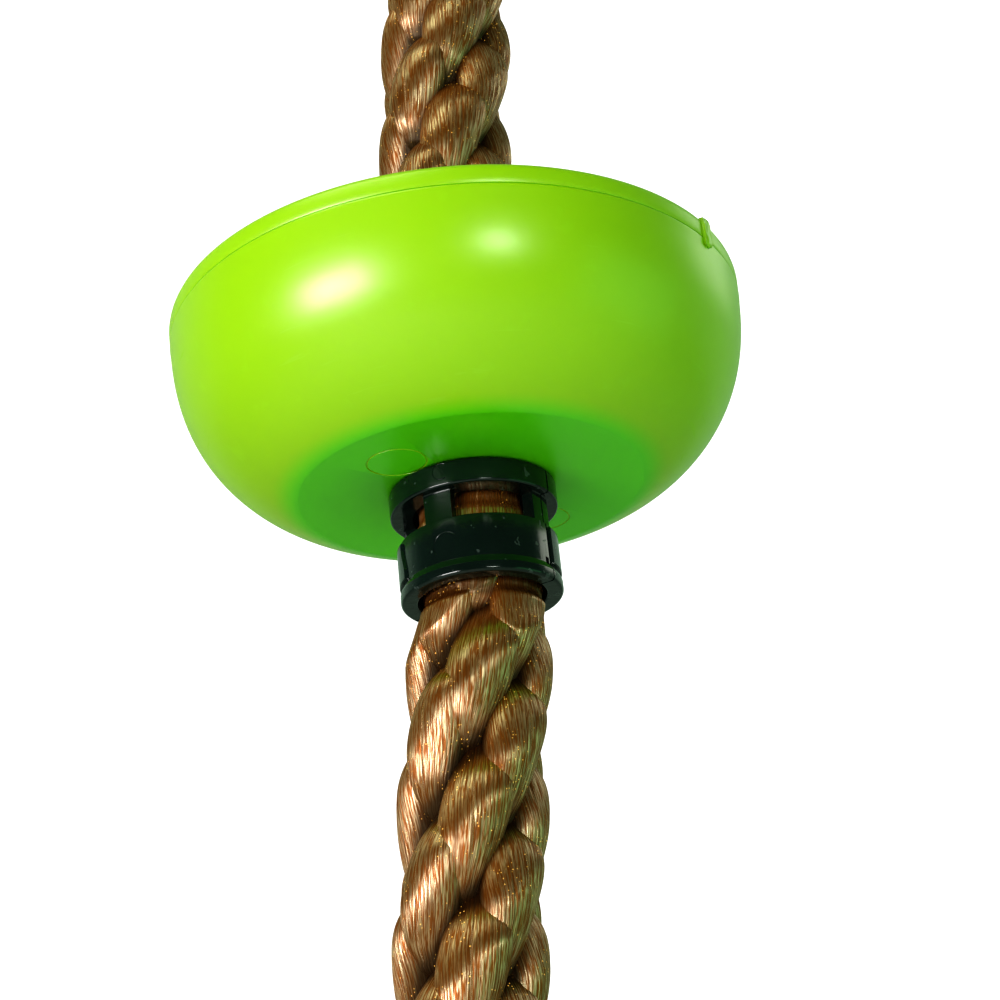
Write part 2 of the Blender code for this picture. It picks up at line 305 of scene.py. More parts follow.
def black_material(name, seed=0.0):
    m = Nodes(name)
    o = m.obj()
    big = m.noise(o, 60.0, 3.0, 0.5)
    fine = m.noise(o, 900.0, 3.0, 0.6)
    col = m.mix(m.mapr(big, 0.3, 0.7, 0.0, 1.0), rgb(12, 24, 20), rgb(18, 32, 28))
    spots = m.noise(m.scaled(o, 1.0, 1.0, 1.0, seed, seed, seed), 420.0, 2.0, 0.6)
    dust = m.mapr(spots, 0.655, 0.70, 0.0, 1.0)
    col = m.mix(m.math("MULTIPLY", dust, 0.35), col, rgb(96, 104, 104))
    p = m.n("ShaderNodeBsdfPrincipled")
    m.link(col, p.inputs["Base Color"])
    m.link(m.math("ADD", m.mapr(big, 0.3, 0.7, 0.11, 0.17), m.math("MULTIPLY", dust, 0.2)), p.inputs["Roughness"])
    p.inputs["Specular IOR Level"].default_value = 0.55
    b = m.bump(fine, 0.12, 0.00008)
    wave = m.noise(m.scaled(o, 1.0, 1.0, 0.35, seed, 2.0, seed), 330.0, 2.0, 0.5)
    b = m.bump(wave, 0.30, 0.00035, b)
    m.link(b, p.inputs["Normal"])
    m.link(p.outputs[0], m.out.inputs[0])
    return m.mat


# ---------------------------------------------------------------------------
# Rope
# ---------------------------------------------------------------------------
def hang(z):
    def arc(u, k, length):
        u = np.maximum(u, 0.0)
        return np.where(u < length, k * u * u / (2 * length), k * length / 2 + k * (u - length))
    u = np.maximum(-0.0225 - z, 0.0)
    low = np.where(u < 0.005, 0.160 * u * u / 0.010, 0.160 * (u - 0.0025) - 0.5 * np.maximum(u - 0.005, 0.0) ** 2)
    return arc(z - 0.044, 0.10, 0.050) - low


COLUMN_AZ = math.radians(0.5)          # azimuth of the stitch column facing the front
PHASE_Z = -56.3 * MM                   # a stitch's lower tip in that column
TWIST = math.radians(-37.0)            # slow turn of the columns through the platform


def column_table(a, vals):
    """Smooth value round the rope from vals at azimuths -90, -45, 0, 45, 90 degrees (0 at the back)."""
    t = np.mod(a / math.radians(45.0) + 4, 8)
    tab = np.array([0, 0] + list(vals) + [0, 0], float)
    i = np.minimum(np.floor(t).astype(int), 7)
    f = t - i
    f = f * f * (3 - 2 * f)
    return tab[i] * (1 - f) + tab[i + 1] * f


def az_warp(a):
    """Slight unevenness of the columns round the rope."""
    return np.radians(column_table(a, (-4.0, 4.0, 4.0, 5.0, 2.0)))


def z_warp(a, z):
    w = column_table(a, (4.6, 3.0, 0.0, 0.5, 1.8))
    w = w + 3.0 * np.exp(-((z + 0.046) / 0.018) ** 2) * column_table(a, (0.3, 1.0, 0.0, 0.0, 0.0))
    return w * (1 - sstep(0.0, 0.030, z)) * MM


def squeeze_limit(z):
    """Largest radius the rope may have at height z (collar, bore, free)."""
    free = 16.8 * MM
    # under the collar the rope bulges out over a crisp pressed edge
    below = 11.9 * MM + 1.05 * MM * sstep(-0.02605, -0.0265, z) + (free - 12.95 * MM) * sstep(-0.0266, -0.046, z)
    # inside: gripped, with a pressed step across the windows
    grip = 12.05 * MM - 0.75 * MM * sstep(-0.0079, -0.0074, z) + 0.9 * MM * sstep(-0.0045, -0.0015, z)
    r = np.where(z < -0.0235, below, grip)
    r = np.where(z >= -0.002, 12.2 * MM + 1.5 * MM * sstep(-0.002, 0.006, z), r)
    above = 13.7 * MM + (free - 13.7 * MM) * sstep(0.036, 0.060, z)
    r = np.where(z >= 0.020, above, r)
    return r


RING_N = 160
STEP = 0.75 * MM


def strand_shape(k, z):
    """Section parameters of strand k at heights z (arrays)."""
    a = np.zeros_like(z)
    for _ in range(4):
        zz = z - PHASE_Z - z_warp(a + COLUMN_AZ, z)
        u = zz / PITCH - k + sstep(0.0, 0.030, z) * (0.0219 + 0.518 * z)
        a = np.radians(30.0) * (u - 0.5)
    t = np.mod(u, 1.5)
    return u, t


def bumpfn(t, centre, half, power=2.0):
    """Periodic (1.5) bump: 1 at centre, 0 beyond half."""
    d = np.mod(t - centre + 0.75, 1.5) - 0.75
    x = np.clip(np.abs(d) / half, 0, 1)
    return (0.5 + 0.5 * np.cos(np.pi * x)) ** power


def strand_rings(k, z):
    u, t = strand_shape(k, z)
    d = np.mod(t - 0.5 + 0.75, 1.5) - 0.75         # -0.75 .. 0.75, 0 at mid stitch
    # azimuth: little lean on the surface, most of the step to the next column inside
    n = np.floor((u - 0.5 + 0.75) / 1.5)
    lean = np.radians(13.5)
    s = np.clip(d / 0.5, -1.5, 1.5)
    az_out = lean * s
    rest = (np.abs(d) - 0.5) / 0.25
    rest = np.clip(rest, 0, 1)
    az = np.where(np.abs(d) < 0.5, az_out, np.sign(d) * (lean + (np.radians(22.5) - lean) * (rest * (1.5 - 0.5 * rest))))
    az = az + np.radians(45.0) * n + COLUMN_AZ + TWIST * sstep(0.0, 0.080, z)
    az = az + az_warp(az)
    # radius of the crown line; the lower tip comes out over the strand below
    dd = np.abs(d)
    crown = 14.65 - 4.2 * (dd / 0.5) ** 2.2
    crown_in = 10.45 - 5.6 * sstep(0.5, 0.75, dd)
    crown = np.where(dd < 0.5, crown, crown_in)
    skew = 0.6 * np.exp(-((d + 0.44) / 0.15) ** 2) - 0.6 * np.exp(-((d - 0.50) / 0.17) ** 2)
    crown = (crown + skew - 0.9 * np.exp(-((d - 0.52) / 0.16) ** 2)) * MM
    dw = np.abs(d - 0.12) / np.where(d < 0.12, 0.72, 0.62)
    half_w = (3.0 + (7.1 - 3.0) * np.clip(np.cos(np.clip(dw, 0, 1) * np.pi / 2), 0, 1) ** np.where(d < 0.12, 1.0, 1.35)) * MM
    half_t = (3.3 + 1.3 * np.clip(np.cos(np.clip(dd / 0.7, 0, 1) * np.pi / 2), 0, 1)) * MM
    centre_r = crown - half_t
    # the section rolls as the strand passes over: one flank tucks under its neighbour
    roll = np.radians(24.0) * np.tanh(d / 0.26) * np.exp(-(dd / 0.72) ** 6)
    return u, t, d, az, crown, centre_r, half_w, half_t, roll


def smooth_noise(n, period_cells, rng, octaves=2):
    """Periodic 1-D value noise, -1..1."""
    out = np.zeros(n)
    amp = 1.0
    for o in range(octaves):
        cells = period_cells * (2 ** o)
        v = rng.uniform(-1, 1, cells)
        x = np.arange(n) / n * cells
        i = np.floor(x).astype(int)
        f = x - i
        f = f * f * (3 - 2 * f)
        out += amp * (v[i % cells] * (1 - f) + v[(i + 1) % cells] * f)
        amp *= 0.5
    return out


def build_strand(k):
    """All rings of strand k from the lower to the upper end of the rope."""
    rng = np.random.default_rng(100 + k)
    cuts = [ROPE_LO, LB, 0.020, UB, ROPE_HI]
    zs = [cuts[0]]
    for a, b in zip(cuts, cuts[1:]):
        n = max(2, int(round((b - a) / STEP)))
        zs += list(a + (b - a) * np.arange(1, n + 1) / n)
    z = np.array(zs)
    u, t, d, az, crown, cr, hw, ht, roll = strand_rings(k, z)
    N = RING_N
    ph = np.arange(N) / N * 2 * np.pi            # 0 = outward crown
    # yarn bundles round the strand: a few deep furrows, many shallow ones
    bundles = 38
    jitter = smooth_noise(N, bundles, rng, 1) * 0.9
    z_cells = int((z[-1] - z[0]) / 0.009)
    wob = np.zeros((len(z), N))
    drift = np.interp(np.arange(len(z)) / len(z) * z_cells, np.arange(z_cells + 2), rng.uniform(-1, 1, z_cells + 2))
    drift2 = np.interp(np.arange(len(z)) / len(z) * z_cells * 1.7, np.arange(int(z_cells * 1.7) + 3), rng.uniform(-1, 1, int(z_cells * 1.7) + 3))
    phase = ph[None, :] * bundles + jitter[None, :] * 2.2 + 0.5 * drift[:, None] * np.sin(ph * 3 + k)[None, :] + 0.35 * drift2[:, None] * np.cos(ph * 5 + 2 * k)[None, :]
    ridge = np.abs(np.sin(phase / 2)) ** 0.6            # rounded ridges, sharp furrows
    depth_v = 0.55 + 0.45 * smooth_noise(N, 13, rng, 2)
    depth_u = 0.75 + 0.25 * drift2
    # the furrow depth shapes the relief and also feeds the painted furrow shade in the colour
    furrow = (1 - ridge) * np.clip(depth_v, 0.1, 1.2)[None, :] * depth_u[:, None]
    relief = -0.20 * MM * furrow
    coarse = smooth_noise(N, 7, rng, 2)[None, :] * 0.12 * MM
    # superellipse section, fuller towards the crown
    c, s = np.cos(ph), np.sin(ph)
    ex = 0.92
    cx = np.sign(s) * np.abs(s) ** ex
    cy = np.sign(c) * np.abs(c) ** ex
    X = hw[:, None] * cx[None, :]
    Y = ht[:, None] * cy[None, :]
    nl = np.sqrt((cx / hw[:, None]) ** 2 + (cy / ht[:, None]) ** 2)
    nx = (cx / hw[:, None]) / nl
    ny = (cy / ht[:, None]) / nl
    X = X + nx * (relief + coarse)
    Y = Y + ny * (relief + coarse)
    cr_, sr_ = np.cos(roll)[:, None], np.sin(roll)[:, None]
    X, Y = X * cr_ - Y * sr_, Y * cr_ + X * sr_
    # follow the curve of the rope: edges wrap back round the core
    rad = cr[:, None] + Y
    wrap = 0.18
    ang = X / np.maximum(cr[:, None] + 0.55 * Y + 1.5 * MM, 4 * MM) * wrap
    tx = X * (1 - wrap)
    px = rad * np.sin(ang) + tx * np.cos(ang)
    py = rad * np.cos(ang) - tx * np.sin(ang)
    # flatten against the collar's bore and the hub
    rr = np.hypot(px, py)
    lim = squeeze_limit(z)[:, None] + relief * 0.8 + coarse
    knee = 0.5 * MM
    over = rr - lim
    soft = np.where(over > -knee, lim - knee * np.exp(-(np.clip(over, -knee, 1) + knee) / knee), rr)
    soft = np.minimum(soft, rr)
    scale = soft / np.maximum(rr, 1e-6)
    px, py = px * scale, py * scale
    # painted shade mask: how far the surface lies below the rope's crowns, relative to the local limit; it darkens
    # the colour and dims the gloss in recesses
    top = np.minimum(squeeze_limit(z), 14.4 * MM)[:, None]
    painted_recess_shade = sstep(1.7 * MM, 4.2 * MM, top - np.hypot(px, py))
    # painted shade on the rope inside the collar's mouth
    painted_recess_shade = np.maximum(painted_recess_shade, 0.70 * ((z > -0.02655) & (z < -0.0200))[:, None])
    ca, sa = np.cos(az)[:, None], np.sin(az)[:, None]
    # local y is radial (outward at azimuth az from -Y towards +X), local x is tangential
    wx = px * ca + py * sa
    wy = px * sa - py * ca
    x = wx + hang(z)[:, None]
    co = np.stack([x, wy, np.repeat(z[:, None], N, 1)], -1)
    # UV: u in cm along the strand, v round it
    uv = np.stack([np.repeat((z * 100)[:, None], N, 1), np.repeat((ph / (2 * np.pi))[None, :], len(z), 0)], -1)
    return z, cuts, co, uv, furrow, painted_recess_shade


def strand_piece(name, z, co, uv, furrow, painted_recess_shade, z0, z1, mat):
    sel = np.where((z > z0 - 1e-7) & (z < z1 + 1e-7))[0]
    C, U, G, D = co[sel], uv[sel], furrow[sel], painted_recess_shade[sel]
    n, N = len(sel), co.shape[1]
    # one extra column of vertices isn't needed: v wraps, so the seam sits at the back of the strand
    idx = np.arange(n * N).reshape(n, N)
    a, b = idx[:-1], idx[1:]
    quads = np.stack([a, np.roll(a, -1, 1), np.roll(b, -1, 1), b], -1).reshape(-1, 4)
    # each cut end: a thin rim, then a lighter face of cut fibres
    n0 = n * N
    rims = [C[0].mean(0) + (C[0] - C[0].mean(0)) * 0.95, C[-1].mean(0) + (C[-1] - C[-1].mean(0)) * 0.95]
    in_lo, in_hi = n0 + np.arange(N), n0 + N + np.arange(N)
    lo_c, hi_c = n0 + 2 * N, n0 + 2 * N + 1
    pts = np.concatenate([C.reshape(-1, 3), rims[0], rims[1], C[0].mean(0)[None], C[-1].mean(0)[None]])
    uvs = np.concatenate([U.reshape(-1, 2), U[0], U[-1], [[U[0, 0, 0], 0.5]], [[U[-1, 0, 0], 0.5]]])
    # the cut ends carry fixed middling values of the painted furrow and recess shade
    gr = np.concatenate([G.ravel(), np.full(2 * N, 0.3), [0.3], [0.3]])
    dp = np.concatenate([D.ravel(), np.full(2 * N, 0.15), [0.15], [0.15]])
    rl = np.stack([np.roll(idx[0], -1), idx[0], in_lo, np.roll(in_lo, -1)], -1)
    rh = np.stack([idx[-1], np.roll(idx[-1], -1), np.roll(in_hi, -1), in_hi], -1)
    quads = np.concatenate([quads, rl, rh])
    lo = np.stack([np.full(N, lo_c), np.roll(in_lo, -1), in_lo], -1)
    hi = np.stack([np.full(N, hi_c), in_hi, np.roll(in_hi, -1)], -1)
    pts[:, 2] += BASE
    ob = mesh_object(name, pts, [quads, np.concatenate([lo, hi])], mat, uvs, {"painted_furrow_shade": gr, "painted_recess_shade": dp})
    me = ob.data
    # cut ends stay crisp
    cap = len(quads)
    ends = set(idx[0].tolist()) | set(idx[-1].tolist())
    ev = np.zeros(len(me.edges) * 2, np.int32)
    me.edges.foreach_get("vertices", ev)
    ev = ev.reshape(-1, 2)
    r0, r1 = set(idx[0].tolist()), set(idx[-1].tolist())
    in0 = np.isin(ev, idx[0]).all(1)
    in1 = np.isin(ev, idx[-1]).all(1)
    at = me.attributes.get("sharp_edge") or me.attributes.new("sharp_edge", "BOOLEAN", "EDGE")
    at.data.foreach_set("value", (in0 | in1))
    return ob


yarns = [yarn_material("yarn_look_%02d" % (k + 1), 3.7 * k, 1.0 + 0.03 * ((k * 5) % 4 - 1.5)) for k in range(12)]
for k in range(12):
    z, cuts, co, uv, furrow, painted_recess_shade = build_strand(k)
    tag = "%02d" % (k + 1)
    lo = strand_piece("rope_strand_%s_lower" % tag, z, co, uv, furrow, painted_recess_shade, cuts[0], cuts[1], yarns[k])
    m2 = strand_piece("rope_strand_%s_collar" % tag, z, co, uv, furrow, painted_recess_shade, cuts[1], cuts[2], yarns[k])
    m1 = strand_piece("rope_strand_%s_hub" % tag, z, co, uv, furrow, painted_recess_shade, cuts[2], cuts[3], yarns[k])
    up = strand_piece("rope_strand_%s_upper" % tag, z, co, uv, furrow, painted_recess_shade, cuts[3], cuts[4], yarns[k])
    hx_u = float(hang(np.array([UB]))[0])
    hx_l = float(hang(np.array([LB]))[0])
    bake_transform(up)
    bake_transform(m1)
    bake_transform(m2)
    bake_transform(lo)
    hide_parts("strand_%s_upper" % tag)
    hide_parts("strand_%s_middle" % tag)
    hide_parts("strand_%s_lower" % tag)

core_mat = yarn_material("core_look", 91.0, 0.8)
for node in ("core_upper_bend", "core_lower_bend"):
    ob = frame["nodes"][node]
    ob.data.materials.clear()
    ob.data.materials.append(core_mat)


# ---------------------------------------------------------------------------
# Turned and cut plastic parts
# ---------------------------------------------------------------------------
def fillet(points, segs=4):
    """(r, z, radius) corners -> (r, z) outline with rounded corners."""
    out = []
    n = len(points)
    for i, (r, z, f) in enumerate(points):
        p = Vector((r, z))
        if f <= 0:
            out.append((r, z))
            continue
        a = Vector(points[i - 1][:2])
        b = Vector(points[(i + 1) % n][:2])
        da, db = (a - p), (b - p)
        la, lb = da.length, db.length
        da.normalize(); db.normalize()
        ang = math.acos(max(-1, min(1, da.dot(db))))
        if ang > math.radians(176):
            out.append((r, z))
            continue
        cut = min(f / math.tan(ang / 2), 0.45 * la, 0.45 * lb)
        rad = cut * math.tan(ang / 2)
        mid = (da + db).normalized()
        c = p + mid * (rad / math.sin(ang / 2))
        s, e = p + da * cut, p + db * cut
        a0 = math.atan2(s.y - c.y, s.x - c.x)
        a1 = math.atan2(e.y - c.y, e.x - c.x)
        d = (a1 - a0 + math.pi) % (2 * math.pi) - math.pi
        for j in range(segs + 1):
            t = a0 + d * j / segs
            out.append((c.x + rad * math.cos(t), c.y + rad * math.sin(t)))
    return out


def turned(name, outline, segs, start=0.0, sweep=360.0, mat=None, smooth=32.0):
    """Closed outline (metres, heights from the platform's underside) turned about Z."""
    prof = np.array(outline)
    n = len(prof)
    full = sweep >= 359.999
    m = segs if full else segs + 1
    az = np.radians(start + sweep * np.arange(m) / segs)
    co = np.stack([prof[None, :, 0] * np.sin(az)[:, None], -prof[None, :, 0] * np.cos(az)[:, None],
                   np.repeat(prof[None, :, 1], m, 0) + BASE], -1).reshape(-1, 3)
    idx = np.arange(m * n).reshape(m, n)
    a = idx if full else idx[:-1]
    b = np.roll(idx, -1, 0) if full else idx[1:]
    quads = np.stack([a, b, np.roll(b, -1, 1), np.roll(a, -1, 1)], -1).reshape(-1, 4)
    faces = [quads]
    ob = None
    bm = bmesh.new()
    verts = [bm.verts.new(c) for c in co]
    for q in quads:
        bm.faces.new([verts[i] for i in q])
    if not full:
        bm.faces.new([verts[i] for i in idx[0]])
        bm.faces.new([verts[i] for i in idx[-1][::-1]])
    bmesh.ops.recalc_face_normals(bm, faces=bm.faces[:])
    me = bpy.data.meshes.new(name)
    bm.to_mesh(me)
    bm.free()
    me.shade_smooth()
    me.set_sharp_from_angle(angle=math.radians(smooth))
    if mat:
        me.materials.append(mat)
    ob = bpy.data.objects.new(name, me)
    bpy.context.scene.collection.objects.link(ob)
    return ob


def apply_all(ob, smooth=None):
    """Replace the mesh with the evaluated one and drop the modifiers."""
    bpy.context.view_layer.update()
    dg = bpy.context.evaluated_depsgraph_get()
    me = bpy.data.meshes.new_from_object(ob.evaluated_get(dg))
    ob.modifiers.clear()
    ob.data = me
    if smooth is not None:
        me.shade_smooth()
        me.set_sharp_from_angle(angle=math.radians(smooth))
    return ob


def cut(ob, tools, operation="DIFFERENCE"):
    for t in tools:
        m = ob.modifiers.new("cut", "BOOLEAN")
        m.operation = operation
        m.solver = "EXACT"
        m.object = t
    apply_all(ob)
    for t in tools:
        bpy.data.objects.remove(t, do_unlink=True)
    return ob


def torus(name, centre, axis, major, minor, n=64, m=10):
    """Ring tool for a shallow circular witness line."""
    axis = Vector(axis).normalized()
    q = axis.to_track_quat("Z", "Y")
    bm = bmesh.new()
    rows = []
    for i in range(n):
        a = 2 * math.pi * i / n
        row = []
        for j in range(m):
            b = 2 * math.pi * j / m
            p = Vector(((major + minor * math.cos(b)) * math.cos(a), (major + minor * math.cos(b)) * math.sin(a), minor * math.sin(b)))
            row.append(bm.verts.new(q @ p + Vector(centre)))
        rows.append(row)
    for i in range(n):
        for j in range(m):
            bm.faces.new((rows[i][j], rows[(i + 1) % n][j], rows[(i + 1) % n][(j + 1) % m], rows[i][(j + 1) % m]))
    bmesh.ops.recalc_face_normals(bm, faces=bm.faces[:])
    me = bpy.data.meshes.new(name)
    bm.to_mesh(me)
    bm.free()
    ob = bpy.data.objects.new(name, me)
    bpy.context.scene.collection.objects.link(ob)
    return ob


def at(az_deg, r, z):
    a = math.radians(az_deg)
    return Vector((r * math.sin(a), -r * math.cos(a), z + BASE))


LIME = lime_material("lime_look")
LIME_T = lime_material("lime_tread_look", 0.33)
BLACK = black_material("black_look", 0.0)
BLACK_R = black_material("black_rear_look", 5.0)

SEAM = 35.2 * MM
BORE = 14.2 * MM
HUB = 17.2 * MM
FLAT = 35.2 * MM


def bowl_r(z):
    h = TOP
    c = max(0.0, 1.0 - min(z, h) / h) ** (1.0 / 0.741)
    s = math.sqrt(max(0.0, 1.0 - c * c))
    return FLAT + (R_PLAT - 0.00008 - FLAT) * s ** 1.36


SEGS = 288
zs = [TOP * (1 - math.cos(math.pi / 2 * i / 46)) ** 1.15 for i in range(1, 47)]
zs = [z for z in zs if z < SEAM - 0.9 * MM]
outer = [(FLAT - 1.4 * MM, 0.0), (FLAT - 0.2 * MM, 0.00002)] + [(bowl_r(z), z) for z in zs]
lip_r = bowl_r(SEAM)
outer += [(lip_r + 0.05 * MM, SEAM - 0.62 * MM), (lip_r + 0.05 * MM, SEAM - 0.30 * MM), (lip_r - 0.04 * MM, SEAM - 0.13 * MM), (lip_r - 0.20 * MM, SEAM - 0.06 * MM), (lip_r - 0.8 * MM, SEAM - 0.05 * MM)]
inner = [(bowl_r(z) - 3.1 * MM, z) for z in (SEAM - 0.05 * MM, 30 * MM, 25 * MM, 20 * MM, 16 * MM, 12 * MM, 9 * MM, 6.5 * MM, 4.6 * MM)]
body = outer + inner + [(FLAT - 1 * MM, 3.0 * MM), (HUB + 1.2 * MM, 3.0 * MM), (HUB + 0.35 * MM, 3.35 * MM), (HUB, 4.2 * MM), (HUB, SEAM - 2.0 * MM),
                        (BORE, SEAM - 2.0 * MM), (BORE, 0.8 * MM), (BORE + 0.25 * MM, 0.22 * MM), (BORE + 0.8 * MM, 0.0)]
bowl = turned("platform_bowl_shell", body, SEGS, mat=LIME, smooth=40.0)
ribs = []
for i in range(6):
    a = math.degrees(2.0 * math.pi * i / 6) + 105.0
    t = 1.1 * MM
    prof = [(HUB - 1.2 * MM, 2.0 * MM), (bowl_r(2 * MM) - 2.2 * MM, 2.0 * MM), (bowl_r(6 * MM) - 3.0 * MM, 6 * MM),
            (bowl_r(16 * MM) - 2 * MM, 16 * MM), (bowl_r(30 * MM) - 1.8 * MM, SEAM - 6 * MM), (HUB - 1.2 * MM, SEAM - 6 * MM)]
    bm = bmesh.new()
    ar = math.radians(a)
    out = Vector((math.sin(ar), -math.cos(ar), 0))
    tan = Vector((math.cos(ar), math.sin(ar), 0))
    sides = [[bm.verts.new(out * r + tan * s + Vector((0, 0, z + BASE))) for r, z in prof] for s in (-t, t)]
    bm.faces.new(sides[0])
    bm.faces.new(sides[1])
    for j in range(len(prof)):
        j2 = (j + 1) % len(prof)
        bm.faces.new((sides[0][j], sides[0][j2], sides[1][j2], sides[1][j]))
    bmesh.ops.recalc_face_normals(bm, faces=bm.faces[:])
    me = bpy.data.meshes.new("rib")
    bm.to_mesh(me)
    bm.free()
    ob = bpy.data.objects.new("rib", me)
    bpy.context.scene.collection.objects.link(ob)
    ribs.append(ob)
cut(bowl, ribs, "UNION")
# two ejector-pin witness rings on the flat underside
cut(bowl, [torus("pin_a", at(-38.0, 22.5 * MM, 0.0), (0, 0, 1), 5.9 * MM, 0.20 * MM, 72, 10),
           torus("pin_b", at(142.0, 22.5 * MM, 0.0), (0, 0, 1), 5.9 * MM, 0.20 * MM, 72, 10)])
bowl.data.shade_smooth()
bowl.data.set_sharp_from_angle(angle=math.radians(30))
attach(bowl, "platform")
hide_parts("platform_bowl")

# tread cover: rolled lip above the joint line, dished face with anti-slip rings and studs
lip = R_PLAT
t_out = [(lip - 1.0 * MM, SEAM + 0.0 * MM, 0), (lip - 0.42 * MM, SEAM + 0.01 * MM, 0), (lip - 0.24 * MM, SEAM + 0.08 * MM, 0), (lip - 0.14 * MM, SEAM + 0.30 * MM, 0),
         (lip - 0.04 * MM, SEAM + 1.2 * MM, 0), (lip, TOP - 1.6 * MM, 0), (lip - 0.12 * MM, TOP - 1.0 * MM, 0), (lip - 0.42 * MM, TOP - 0.42 * MM, 0),
         (lip - 0.95 * MM, TOP - 0.10 * MM, 0), (lip - 1.7 * MM, TOP, 0), (lip - 3.8 * MM, TOP, 0), (lip - 5.2 * MM, TOP - 1.0 * MM, 0.8 * MM)]
base_z = TOP - 1.0 * MM
rr = 50.0
while rr > 22:
    t_out += [(rr * MM + 1.25 * MM, base_z, 0.35 * MM), (rr * MM + 0.7 * MM, base_z + 0.8 * MM, 0.25 * MM),
              (rr * MM - 0.7 * MM, base_z + 0.8 * MM, 0.25 * MM), (rr * MM - 1.25 * MM, base_z, 0.35 * MM)]
    rr -= 7.5
t_out += [(BORE + 3.0 * MM, base_z, 0.4 * MM), (BORE + 2.4 * MM, TOP, 0.4 * MM), (BORE + 0.05 * MM, TOP, 0.6 * MM)]
t_under = [(BORE, SEAM - 1.7 * MM, 0.1 * MM), (HUB + 0.3 * MM, SEAM - 1.7 * MM, 0), (HUB + 0.3 * MM, SEAM - 6 * MM, 0), (HUB + 2.0 * MM, SEAM - 6 * MM, 0),
           (HUB + 2.0 * MM, base_z - 2.6 * MM, 0.4 * MM), (lip - 6.0 * MM, base_z - 2.6 * MM, 0.4 * MM), (lip - 6.0 * MM, SEAM - 4 * MM, 0.2 * MM),
           (lip - 4.2 * MM, SEAM - 4 * MM, 0.2 * MM), (lip - 3.7 * MM, SEAM + 0.02 * MM, 0)]
tread = turned("platform_tread_cover", fillet(t_out + t_under, 3), SEGS, mat=LIME_T, smooth=40.0)
studs = []
for ring, count in ((53.4, 40), (46.2, 34), (38.7, 28), (31.2, 22)):
    for i in range(count):
        a = 360.0 * i / count + ring
        bm = bmesh.new()
        bmesh.ops.create_cone(bm, cap_ends=True, segments=14, radius1=1.15 * MM, radius2=0.8 * MM, depth=1.5 * MM)
        bmesh.ops.translate(bm, verts=bm.verts[:], vec=at(a, ring * MM, base_z + 0.0 * MM))
        me = bpy.data.meshes.new("stud")
        bm.to_mesh(me)
        bm.free()
        studs.append(me)
bm = bmesh.new()
for me in studs:
    bm.from_mesh(me)
me = bpy.data.meshes.new("studs")
bm.to_mesh(me)
bm.free()
stud_ob = bpy.data.objects.new("studs", me)
bpy.context.scene.collection.objects.link(stud_ob)
cut(tread, [stud_ob], "UNION")
tread.data.shade_smooth()
tread.data.set_sharp_from_angle(angle=math.radians(35))
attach(tread, "platform")
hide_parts("platform_tread")

# gate vestige left by moulding: a ragged nub across the joint line
bm = bmesh.new()
bmesh.ops.create_cube(bm, size=1.0)
bmesh.ops.subdivide_edges(bm, edges=bm.edges[:], cuts=9, use_grid_fill=True)
GATE_AZ = 59.2
for v in bm.verts:
    p = v.co.copy()
    n3 = noise.noise_vector(p * 3.1 + Vector((3, 1, 7)))
    l = max(abs(p.x), abs(p.y), abs(p.z)) / max(p.length, 1e-6)
    q = p * (0.55 + 0.45 * l)
    w = Vector((q.x * 2.9, q.y * 1.3, q.z * 6.8)) * MM
    w += Vector((n3.x * 0.28, n3.y * 0.32, n3.z * 0.30)) * MM
    v.co = w
rot = Matrix.Rotation(math.radians(GATE_AZ), 4, "Z")
bmesh.ops.transform(bm, matrix=Matrix.Translation(at(GATE_AZ, R_PLAT - 0.10 * MM, SEAM + 1.4 * MM)) @ rot, verts=bm.verts[:])
me = bpy.data.meshes.new("gate_vestige")
bm.to_mesh(me)
bm.free()
me.shade_smooth()
me.materials.append(LIME_T)
gate = bpy.data.objects.new("gate_vestige", me)
bpy.context.scene.collection.objects.link(gate)
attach(gate, "platform")

# ---------------------------------------------------------------------------
# Lock collar
# ---------------------------------------------------------------------------
SEAM_AZ = 63.0
F_Z, W_Z, LIP_Z = -5.3 * MM, -11.6 * MM, -21.4 * MM
FLANGE_R, POST_R, RING_R, LIPR, GRIP = 17.1 * MM, 15.3 * MM, 15.75 * MM, 16.3 * MM, 12.6 * MM


def patch(name, r0, r1, az_of, z0, z1, nz=40, na=24):
    """Curved pad on a cylinder between two azimuth curves."""
    bm = bmesh.new()
    grid = {}
    for lay, r in enumerate((r0, r1)):
        for i in range(nz + 1):
            z = z0 + (z1 - z0) * i / nz
            a0, a1 = az_of(i / nz)
            for j in range(na + 1):
                a = a0 + (a1 - a0) * j / na
                edge = min(j, na - j) / na * abs(a1 - a0)
                drop = 0.0
                if lay:
                    e = min(1.0, min(edge / 1.6, min(i, nz - i) * abs(z1 - z0) / nz / (0.45 * MM)))
                    drop = (1 - math.sqrt(max(0, 1 - (1 - e) ** 2))) * (r1 - r0) * 0.8
                grid[lay, i, j] = bm.verts.new(at(a, r - drop, z))
    for i in range(nz):
        for j in range(na):
            bm.faces.new([grid[0, i, j], grid[0, i, j + 1], grid[0, i + 1, j + 1], grid[0, i + 1, j]])
            bm.faces.new([grid[1, i, j], grid[1, i, j + 1], grid[1, i + 1, j + 1], grid[1, i + 1, j]])
    for i in range(nz):
        for j in (0, na):
            bm.faces.new([grid[0, i, j], grid[0, i + 1, j], grid[1, i + 1, j], grid[1, i, j]])
    for j in range(na):
        for i in (0, nz):
            bm.faces.new([grid[0, i, j], grid[0, i, j + 1], grid[1, i, j + 1], grid[1, i, j]])
    bmesh.ops.recalc_face_normals(bm, faces=bm.faces[:])
    me = bpy.data.meshes.new(name)
    bm.to_mesh(me)
    bm.free()
    ob = bpy.data.objects.new(name, me)
    bpy.context.scene.collection.objects.link(ob)
    return ob


PIN_F, PIN_R = 8.0, 5.0


